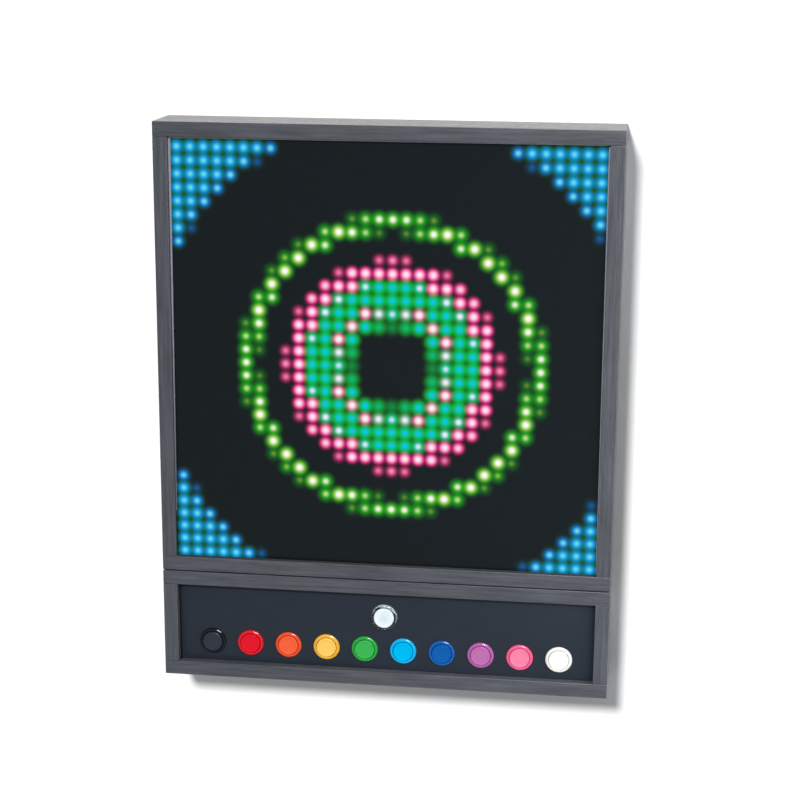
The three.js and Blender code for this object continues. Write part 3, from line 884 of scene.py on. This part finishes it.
# %% [markdown]
# ## Return springs
# A coil spring sits round each stem and pushes the cap back. A round wire is swept along a helix;
# the coils shorten as the button is pressed.

# %% Wind the springs
steel_finish = skinned_finish("spring_wire", (0.5, 0.51, 0.53, 1), (0.62, 0.63, 0.65, 1),
                              {"Gloss": 0.22, "Scuffs": 0.25, "Peel size": 900.0}, Metallic=1.0)

WIRE, COIL = 0.4, 5.05
SPRING_REAR, SPRING_FRONT = FLOOR_TOP + 0.3, CAP_UNDERSIDE - 0.3


def coil_spring(place, turns=7.5, steps=20, sides=8):
    shape = bmesh.new()
    count = int(turns * steps)
    length = SPRING_FRONT - SPRING_REAR - 2 * WIRE
    loops = []
    for i in range(count + 1):
        angle = 2 * math.pi * i / steps
        share = i / count
        eased = share - 0.06 * math.sin(2 * math.pi * share)  # ends are wound closer, as on a real spring
        forward = SPRING_REAR + WIRE + length * eased
        outward = Vector((math.cos(angle), 0, math.sin(angle)))
        centre = Vector(place) + COIL * outward - Vector((0, forward, 0))
        loops.append([
            shape.verts.new(centre + WIRE * (math.cos(a) * outward + math.sin(a) * Vector((0, 1, 0))))
            for a in (2 * math.pi * k / sides for k in range(sides))
        ])
    for one, two in zip(loops, loops[1:]):
        for k in range(sides):
            shape.faces.new((one[k], one[(k + 1) % sides], two[(k + 1) % sides], two[k]))
    shape.faces.new(loops[0])
    shape.faces.new(loops[-1])
    return shape


for name in BUTTONS:
    place = (centres[name].x, PANEL_Y, centres[name].z)
    spring = add_piece(name + "_spring", coil_spring(place), steel_finish,
                       stands_for=["spring_" + name])
    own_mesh(spring)

# %% [markdown]
# ## Switches
# Behind each barrel is a small snap switch: a black case with two fixing holes, a plunger nub
# that the stem reaches, and three brass blades behind. The nub is pushed into the case by the
# same press.

# %% Build the switches
case_finish = skinned_finish("switch_case", (0.008, 0.008, 0.009, 1), (0.014, 0.014, 0.015, 1),
                             {"Gloss": 0.42, "Scuffs": 0.2})
nub_finish = plastic_finish("switch_nub", (0.55, 0.03, 0.03, 1), 0.3, 0.1)
brass_finish = skinned_finish("brass_blades", (0.55, 0.38, 0.14, 1), (0.66, 0.47, 0.2, 1),
                              {"Gloss": 0.3, "Scuffs": 0.3}, Metallic=1.0)

for name in BUTTONS:
    case_low, case_high = solid_box("microswitch_" + name)
    x, z = centres[name].x, centres[name].z
    screw_y = case_high.y - 3.0
    drill = [(0, 12), (1.55, 12), (1.55, -12), (0, -12)]
    holes = [turned(drill, (0, 0, 0), closed=False, sides=24) for _ in (0, 1)]
    for side, hole in zip((-1, 1), holes):
        bmesh.ops.rotate(hole, cent=(0, 0, 0), matrix=Matrix.Rotation(math.pi / 2, 3, "X"), verts=hole.verts)
        bmesh.ops.translate(hole, vec=(x + side * 11.1, screw_y, z), verts=hole.verts)
    case = cut_out(ease(block(case_low, case_high), 0.5, 2), holes)
    add_piece(name + "_switch_case", case, case_finish, stands_for=["microswitch_" + name])
    nub = ease(block((x - 1.6, case_low.y - 2.8, z - 1.5), (x + 1.6, case_low.y - 0.02, z + 1.5)), 0.3, 2)
    nub_piece = add_piece(name + "_switch_nub", nub, nub_finish)
    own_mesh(nub_piece)
    blades = [block((x + d - 0.25, case_high.y + 0.02, z - 2.4), (x + d + 0.25, case_high.y + 6.5, z + 2.4))
              for d in (-9.5, 0, 9.5)]
    add_piece(name + "_switch_blades", join([ease(b, 0.1, 1) for b in blades]), brass_finish)
print("switches made:", len(BUTTONS))

# %% [markdown]
# ## Rear cover
# The back is closed by a 4 mm black hardboard cover with two rows of slots that let warm air out.
# Hardboard has a fibrous, slightly mottled face. Round-headed screws hold it all round.

# %% Hardboard finish and rear cover
hardboard_finish, tree, shader = new_finish("black_hardboard", Specular_IOR_Level=0.35)
place = node(tree, "ShaderNodeTexCoord").outputs["Object"]
fibres = node(tree, "ShaderNodeTexNoise", {"Vector": place, "Scale": 420.0, "Detail": 6.0, "Roughness": 0.7})
mottle = node(tree, "ShaderNodeTexNoise", {"Vector": place, "Scale": 14.0, "Detail": 3.0})
tone = maths(tree, "ADD", maths(tree, "MULTIPLY", fibres.outputs["Fac"], 0.6),
             maths(tree, "MULTIPLY", mottle.outputs["Fac"], 0.4))
mottled = remap(tree, tone, 0.35, 0.65)
tree.links.new(mix_colour(tree, mottled, (0.012, 0.012, 0.013, 1), (0.034, 0.033, 0.033, 1)),
               shader.inputs["Base Color"])
tree.links.new(remap(tree, fibres.outputs["Fac"], 0.3, 0.7, 0.6, 0.85), shader.inputs["Roughness"])
relief = node(tree, "ShaderNodeBump", {"Height": fibres.outputs["Fac"], "Strength": 0.3, "Distance": 0.0003})
tree.links.new(relief.outputs["Normal"], shader.inputs["Normal"])

cover_low, cover_high = solid_box("rear_cover")
top_z = solid_box("display_top_rail")[1].z
display_floor = solid_box("display_bottom_rail")[1].z
slots = []
for height in (top_z - 180.0, display_floor + 40.0):
    for i in range(9):
        x = (i - 4) * 14.0
        round_end = [
            (x + 1.75 * math.cos(math.radians(a)), height + side * 19.25 + 1.75 * math.sin(math.radians(a)))
            for side, angles in ((1, range(0, 181, 30)), (-1, range(180, 361, 30)))
            for a in angles
        ]
        slots.append(prism(round_end, cover_low.y - 5, cover_high.y + 5, "y"))
cover = cut_out(ease(block(cover_low, cover_high), 0.3, 2), slots)
add_piece("hardboard_cover", cover, hardboard_finish, stands_for=["rear_cover"])
print("slots cut:", len(slots))

# %% [markdown]
# ## Screws
# A pan-head screw is turned in one piece, then a cross is cut in its head. One screw is drawn by
# a helper that takes the place and the size, so the cover, the batten and the power supply's
# terminals all share it.

# %% Screw helper and the cover's screws
screw_finish = skinned_finish("zinc_screws", (0.42, 0.43, 0.44, 1), (0.56, 0.56, 0.55, 1),
                              {"Gloss": 0.28, "Scuffs": 0.3, "Peel size": 1500.0}, Metallic=1.0)


def pan_screw(x, y, z, radius=3.4, height=2.0):
    """A screw head on the plane at y that faces the wall, +Y."""
    section = [(0, height), (radius * 0.62, height, 0.5), (radius, height * 0.35, 0.8),
               (radius, 0.0), (0, 0.0)]
    head = turned(section, (0, 0, 0), closed=False, sides=32)
    arm, wide, deep = radius * 0.55, radius * 0.14, height * 0.6
    cross = [block((-arm, -height - 1, -wide), (arm, -height + deep, wide)),
             block((-wide, -height - 1.01, -arm), (wide, -height + deep, arm))]
    head = cut_out(head, cross)
    bmesh.ops.rotate(head, cent=(0, 0, 0), matrix=Matrix.Rotation(math.pi, 3, "Z"), verts=head.verts)
    bmesh.ops.rotate(head, cent=(0, 0, 0), matrix=Matrix.Rotation(x * 1.7 + z, 3, "Y"), verts=head.verts)
    bmesh.ops.translate(head, vec=(x, y, z), verts=head.verts)
    return head


inset = 9.0
cover_screws = []
for x in (cover_low.x + inset, cover_high.x - inset):
    for share in (0, 0.2, 0.4, 0.6, 0.8, 1):
        z = cover_low.z + inset + share * (cover_high.z - cover_low.z - 2 * inset)
        cover_screws.append(pan_screw(x, cover_high.y, z))
for z in (cover_low.z + inset, cover_high.z - inset):
    for share in (0.25, 0.5, 0.75):
        cover_screws.append(pan_screw(cover_low.x + share * (cover_high.x - cover_low.x), cover_high.y, z))
add_piece("cover_screws", join(cover_screws), screw_finish)
print("screws in the cover:", len(cover_screws))

# %% [markdown]
# ## Corner blocks
# The cover is screwed to small pine blocks glued into the corners of the boards. They are inside,
# and only the screws tell of them, but they are what keeps the boxes square.

# %% Wood finish and corner blocks
def wood_finish(name, pale, dark, stretch):
    finish, tree, shader = new_finish(name, Specular_IOR_Level=0.3)
    grain = placed(tree, laminate_grain, {"Stretch": stretch, "Strength": 2.2})
    place = node(tree, "ShaderNodeTexCoord").outputs["Object"]
    figure = node(tree, "ShaderNodeTexWave", {
        "Vector": vector_maths(tree, "MULTIPLY", place, tuple(v / 8 for v in stretch)),
        "Scale": 0.6, "Distortion": 5.0, "Detail": 2.0,
    }, bands_direction="DIAGONAL")
    tone = maths(tree, "ADD", maths(tree, "MULTIPLY", grain["Shade"], 0.6),
                 maths(tree, "MULTIPLY", figure.outputs["Fac"], 0.4))
    tree.links.new(mix_colour(tree, tone, dark, pale), shader.inputs["Base Color"])
    tree.links.new(remap(tree, grain["Height"], 0.2, 0.7, 0.55, 0.75), shader.inputs["Roughness"])
    relief = node(tree, "ShaderNodeBump", {"Height": grain["Height"], "Strength": 0.25, "Distance": 0.0003})
    tree.links.new(relief.outputs["Normal"], shader.inputs["Normal"])
    return finish


pine_finish = wood_finish("corner_pine", (0.52, 0.34, 0.17, 1), (0.32, 0.18, 0.08, 1), (300.0, 200.0, 12.0))
corner_blocks = []
for side in (-1, 1):
    for z in (25.0, 95.0, 200.0, 640.0):
        x_out, x_in = side * (inner_x - 0.3), side * (inner_x - 18.0)
        pine = block((min(x_out, x_in), cover_low.y - 18, z),
                     (max(x_out, x_in), cover_low.y - 0.3, z + 20))
        corner_blocks.append(ease(pine, 0.6, 2))
add_piece("corner_blocks", join(corner_blocks), pine_finish)
print("corner blocks:", len(corner_blocks))

# %% [markdown]
# ## Hanging batten
# The panel hangs by a bevelled batten that hooks over its twin on the wall. It is birch ply, so
# its face has a fine pale grain and its edges show the layers. The layers are drawn as bands
# across the thickness.

# %% Batten and its screws
batten_low, batten_high = solid_box("hanging_batten")
ply_finish, tree, shader = new_finish("birch_ply", Specular_IOR_Level=0.3)
grain = placed(tree, laminate_grain, {"Stretch": (9.0, 60.0, 220.0), "Strength": 2.0})
place = node(tree, "ShaderNodeTexCoord").outputs["Object"]
depth = node(tree, "ShaderNodeSeparateXYZ", {0: place}).outputs["Y"]
layer = maths(tree, "PINGPONG", maths(tree, "SUBTRACT", depth, batten_low.y * MM), 0.0015)
dark_layer = remap(tree, layer, 0.0004, 0.0009)
normal = node(tree, "ShaderNodeNewGeometry").outputs["Normal"]
facing = node(tree, "ShaderNodeSeparateXYZ", {0: normal}).outputs["Y"]
on_edge = remap(tree, maths(tree, "ABSOLUTE", facing), 0.75, 0.95, 1.0, 0.0)
face = mix_colour(tree, grain["Shade"], (0.36, 0.23, 0.12, 1), (0.56, 0.41, 0.25, 1))
layers = mix_colour(tree, dark_layer, (0.22, 0.13, 0.065, 1), (0.48, 0.34, 0.2, 1))
tree.links.new(mix_colour(tree, on_edge, face, layers), shader.inputs["Base Color"])
tree.links.new(remap(tree, grain["Height"], 0.2, 0.7, 0.55, 0.75), shader.inputs["Roughness"])
relief = node(tree, "ShaderNodeBump", {"Height": grain["Height"], "Strength": 0.2, "Distance": 0.0003})
tree.links.new(relief.outputs["Normal"], shader.inputs["Normal"])

thick = batten_high.y - batten_low.y
outline = [(batten_low.y, batten_high.z), (batten_low.y, batten_low.z + thick), (batten_high.y, batten_low.z),
           (batten_high.y, batten_high.z)]
batten = ease(prism(outline, batten_low.x, batten_high.x, "x"), 0.5, 2)
add_piece("hanging_batten_ply", batten, ply_finish, stands_for=["hanging_batten"])
add_piece("batten_screws", join([
    pan_screw(share * batten_high.x, batten_high.y - 1.9, batten_low.z + 36, radius=3.8, height=2.2)
    for share in (-0.85, -0.43, 0, 0.43, 0.85)
]), screw_finish)
print("batten:", [round(v, 1) for v in batten_high - batten_low], "mm")

# %% [markdown]
# ## Power supply
# A caged supply feeds the lights. Its cage is folded zinc-plated sheet with rows of round vents,
# and a step at one end carries the screw terminals. The cage keeps the frame's solid shape and
# gets its vents from a pattern in the finish: each vent is painted near-black, as painted shade for
# the dark inside seen through the hole. Terminals and feet are real pieces.

# %% Cage finish and supply
cage_finish, tree, shader = new_finish("zinc_cage")
place = node(tree, "ShaderNodeTexCoord").outputs["Object"]
supply_low, supply_high = solid_box("power_supply")
VENT_PITCH, VENT_RADIUS = 0.008, 0.27  # metres, and a share of the pitch
share = vector_maths(tree, "FRACTION", scaled(tree, place, 1 / VENT_PITCH))
from_vent = vector_maths(tree, "SUBTRACT", share, (0.5, 0.5, 0.5))
in_pitch = node(tree, "ShaderNodeSeparateXYZ", {0: from_vent}).outputs
squares = [maths(tree, "POWER", in_pitch[axis], 2.0) for axis in "XZ"]
hole = maths(tree, "LESS_THAN", maths(tree, "SQRT", maths(tree, "ADD", *squares)), VENT_RADIUS)
inside_edge = placed(tree, edge_wear, {"Low corner": supply_low * MM, "High corner": supply_high * MM,
                                       "Width": 0.02})["Worn"]
vent_shade = maths(tree, "MULTIPLY", hole, maths(tree, "LESS_THAN", inside_edge, 0.3))
spangle = node(tree, "ShaderNodeTexVoronoi", {"Vector": place, "Scale": 140.0}).outputs["Color"]
grey = remap(tree, node(tree, "ShaderNodeSeparateXYZ", {0: spangle}).outputs["X"], 0.0, 1.0, 0.3, 0.6)
zinc = mix_colour(tree, grey, (0.3, 0.31, 0.32, 1), (0.6, 0.61, 0.62, 1))
# Vents painted near-black: painted shade for the dark inside seen through each hole.
tree.links.new(mix_colour(tree, vent_shade, zinc, (0.004, 0.004, 0.004, 1)), shader.inputs["Base Color"])
tree.links.new(maths(tree, "SUBTRACT", 1.0, vent_shade), shader.inputs["Metallic"])
tree.links.new(maths(tree, "ADD", maths(tree, "MULTIPLY", grey, 0.3), 0.22), shader.inputs["Roughness"])
supply_node = dressed("power_supply", cage_finish)

terminals = [ease(block((supply_high.x - 17.5, supply_low.y + 1.0, supply_low.z + 12 + 13 * i),
                        (supply_high.x - 3.0, supply_low.y + 13.6, supply_low.z + 23 + 13 * i)), 0.6, 2)
             for i in range(7)]
add_piece("supply_terminals", join(terminals), case_finish)
screws = []
for i in range(7):
    head = pan_screw(0, 0, 0, radius=3.0, height=1.6)
    bmesh.ops.rotate(head, cent=(0, 0, 0), matrix=Matrix.Rotation(math.pi, 3, "Z"), verts=head.verts)
    bmesh.ops.translate(head, vec=(supply_high.x - 10.2, supply_low.y + 0.98, supply_low.z + 17.5 + 13 * i),
                        verts=head.verts)
    screws.append(head)
add_piece("terminal_screws", join(screws), brass_finish)
foot_section = [(0, 0), (4, 0), (4, -3.6), (0, -3.6)]
feet = [turned(foot_section, (supply_low.x + dx, supply_high.y + 0.2, supply_low.z + dz),
               closed=False, sides=32) for dx in (15, 195) for dz in (15, 100)]
add_piece("supply_feet", join(feet), brass_finish)
print("supply terminals:", len(terminals))

# %% [markdown]
# ## Controller board
# A small green board runs the game. Its solid already has the chip, the connectors and the
# capacitor as blocks, so its finish tells copper tracks, solder mask and black parts apart by
# how far each stands off the board, and round pillars hold it off the cover.

# %% Board finish and pillars
board_low, board_high = solid_box("controller_board")
mask_finish, tree, shader = new_finish("solder_mask")
place = node(tree, "ShaderNodeTexCoord").outputs["Object"]
depth = node(tree, "ShaderNodeSeparateXYZ", {0: place}).outputs["Y"]
stands_off = maths(tree, "LESS_THAN", depth, (board_high.y - 1.8) * MM)
track_place = vector_maths(tree, "MULTIPLY", place, (700.0, 1.0, 260.0))
tracks = node(tree, "ShaderNodeTexVoronoi", {"Vector": track_place, "Scale": 1.0}, distance="MANHATTAN")
track = remap(tree, tracks.outputs["Distance"], 0.3, 0.36)
green = mix_colour(tree, track, (0.02, 0.16, 0.06, 1), (0.008, 0.075, 0.03, 1))
tree.links.new(mix_colour(tree, stands_off, green, (0.012, 0.012, 0.013, 1)), shader.inputs["Base Color"])
skin = placed(tree, moulded_skin, {"Gloss": 0.25, "Scuffs": 0.2})
tree.links.new(skin["Roughness"], shader.inputs["Roughness"])
controller = dressed("controller_board", mask_finish)
pillars = [turned([(0, -0.1), (2.5, -0.1), (2.5, -7.7), (0, -7.7)],
                  (board_low.x + dx, board_high.y, board_low.z + dz), closed=False, sides=24)
           for dx in (4, 92) for dz in (4, 60)]
add_piece("board_pillars", join(pillars), brass_finish)
print("pillars:", len(pillars))

# %% [markdown]
# ## Power inlet
# The mains inlet is let into the underside of the bottom rail, and its flange lies against the
# board. Three flat brass pins stand in its well.

# %% Inlet and its pins
inlet_finish = skinned_finish("inlet_moulding", (0.006, 0.006, 0.006, 1), (0.012, 0.012, 0.012, 1),
                              {"Gloss": 0.4, "Scuffs": 0.3})
outer = ease(block((hole_x - 15.5, -12, inlet_low.z), (hole_x + 15.5, 12, inlet_low.z + 3.0)), 0.6, 2)
well_top = inlet_high.z - 2.0
shell = ease(block((hole_x - 13.5, -10, inlet_low.z + 2.9), (hole_x + 13.5, 10, inlet_high.z)), 0.5, 2)


def well(top):
    """What is cut away for the well, from under the inlet up to top, with rounded corners."""
    shape = block((hole_x - 11.9, -8.4, inlet_low.z - 5), (hole_x + 11.9, 8.4, top))
    return ease(shape, 2.0, 3, lambda e: abs(e.verts[0].co.z - e.verts[1].co.z) > 1)


outer = cut_out(outer, [well(inlet_low.z + 8)])
shell = cut_out(shell, [well(well_top)])
add_piece("inlet_shell", join([outer, shell]), inlet_finish, stands_for=["power_inlet"])
pins = [ease(block((hole_x + dx - 2.0, dy - 1.0, inlet_low.z + 3.5),
                   (hole_x + dx + 2.0, dy + 1.0, well_top)), 0.4, 2)
        for dx, dy in ((-7, -2), (0, 2.4), (7, -2))]
add_piece("inlet_pins", join(pins), brass_finish)
print("inlet at x =", round(hole_x, 1), "mm")

# %% [markdown]
# ## Wall and floor
# The panel hangs just in front of a white wall, which takes its soft shadow, over a grey floor
# far below. Neither belongs to the object. The wall shows only its front, so the panel can be
# seen from behind as well, and it doesn't block the light that reaches the panel's back.

# %% Stage
def stage_plane(name, corners, finish):
    shape = bmesh.new()
    shape.faces.new([shape.verts.new(c) for c in corners])
    mesh = bpy.data.meshes.new(name)
    shape.to_mesh(mesh)
    shape.free()
    mesh.materials.append(finish)
    plane = bpy.data.objects.new(name, mesh)
    scene.collection.objects.link(plane)
    return plane


wall_finish, tree, shader = new_finish("wall_paint", Roughness=0.9, Specular_IOR_Level=0.1)
shader.inputs["Base Color"].default_value = (0.92, 0.92, 0.92, 1)
clear = node(tree, "ShaderNodeBsdfTransparent")
side = node(tree, "ShaderNodeNewGeometry").outputs["Backfacing"]
output = tree.nodes["Material Output"]
front_only = node(tree, "ShaderNodeMixShader", {0: side, 1: shader.outputs[0], 2: clear.outputs[0]})
tree.links.new(front_only.outputs[0], output.inputs["Surface"])

wall_y = 0.0402
FLOOR_Z = -0.95
wall_corners = [(-4, wall_y, FLOOR_Z), (4, wall_y, FLOOR_Z), (4, wall_y, 4), (-4, wall_y, 4)]
wall = stage_plane("wall", wall_corners, wall_finish)
wall.visible_diffuse = False
wall.visible_transmission = False
wall.visible_shadow = False
floor_finish, tree, shader = new_finish("floor_paint", Roughness=0.8)
shader.inputs["Base Color"].default_value = (0.40, 0.40, 0.40, 1)
floor_corners = [(-6, -6, FLOOR_Z), (6, -6, FLOOR_Z), (6, 6, FLOOR_Z), (-6, 6, FLOOR_Z)]
floor = stage_plane("floor", floor_corners, floor_finish)
floor.visible_diffuse = False
print("wall at y =", wall_y, "m")

# %% [markdown]
# ## Light
# A soft sun high on the left, in front, throws the short shadow down and to the right. The other
# two are area lamps on the right. One above shows only in reflections, where it puts the small
# bright arcs on the rims. One low down lights only what is matt and lifts the lower right, and no
# reflection shows it. A pale room fills the shadows.

# %% Lamps and room
def aim(thing, towards):
    thing.rotation_mode = "QUATERNION"
    thing.rotation_quaternion = Vector(towards).to_track_quat("-Z", "Y")


def add_lamp(name, kind, **settings):
    data = bpy.data.lights.new(name, kind)
    for key, value in settings.items():
        setattr(data, key, value)
    made = bpy.data.objects.new(name, data)
    scene.collection.objects.link(made)
    return made


object_middle = Vector((0, 0, 0.356))
key = add_lamp("key_light", "SUN", energy=3.5, angle=math.radians(10))
aim(key, (0.225, 1.0, -0.63))
key.visible_glossy = False
glint = add_lamp("glint_light", "AREA", energy=110.0, shape="RECTANGLE", size=1.7, size_y=0.7)
glint.visible_diffuse = False
glint.location = object_middle + 1.7 * Vector((0.49, -0.33, 0.80))
aim(glint, object_middle - glint.location)
fill = add_lamp("fill_light", "AREA", energy=8.0, shape="RECTANGLE", size=0.9, size_y=0.6)
fill.visible_glossy = False
fill.location = (0.8, -0.55, 0.25)
aim(fill, Vector((0.25, 0, 0.15)) - fill.location)

# Both area lamps are kept off the wall, so its shadow is as dark as the sun and the room leave it.
all_but_wall = bpy.data.collections.new("all_but_wall")
all_but_wall.objects.link(wall)
all_but_wall.collection_objects[0].light_linking.link_state = "EXCLUDE"
glint.light_linking.receiver_collection = all_but_wall
fill.light_linking.receiver_collection = all_but_wall

world = bpy.data.worlds.new("pale_room")
scene.world = world
world.use_nodes = True
world.node_tree.nodes["Background"].inputs["Color"].default_value = (0.97, 0.985, 1.0, 1)
world.node_tree.nodes["Background"].inputs["Strength"].default_value = 0.36

# %% [markdown]
# ## Camera
# The panel is seen from a little above and to the right, from about 2.2 m, through a long lens.
# The three directions of the camera are given as a matrix: its right, its up and the way back.

# %% Camera
camera_data = bpy.data.cameras.new("camera")
camera_data.sensor_width = 36.0
camera_data.lens = 85.0
camera_data.shift_x, camera_data.shift_y = 0.0067, 0.0138
camera = bpy.data.objects.new("camera", camera_data)
scene.collection.objects.link(camera)
right = Vector((0.9908, 0.1354, 0.0059))
forward = Vector((-0.1298, 0.9606, -0.2457)).normalized()
right = (right - right.dot(forward) * forward).normalized()
up = right.cross(forward)
turn = Matrix((right, up, -forward)).transposed().to_4x4()
camera.matrix_world = Matrix.Translation((0.3154, -2.2757, 0.9353)) @ turn
scene.camera = camera
scene.view_settings.view_transform = "Standard"
print("camera lens:", camera_data.lens, "mm")
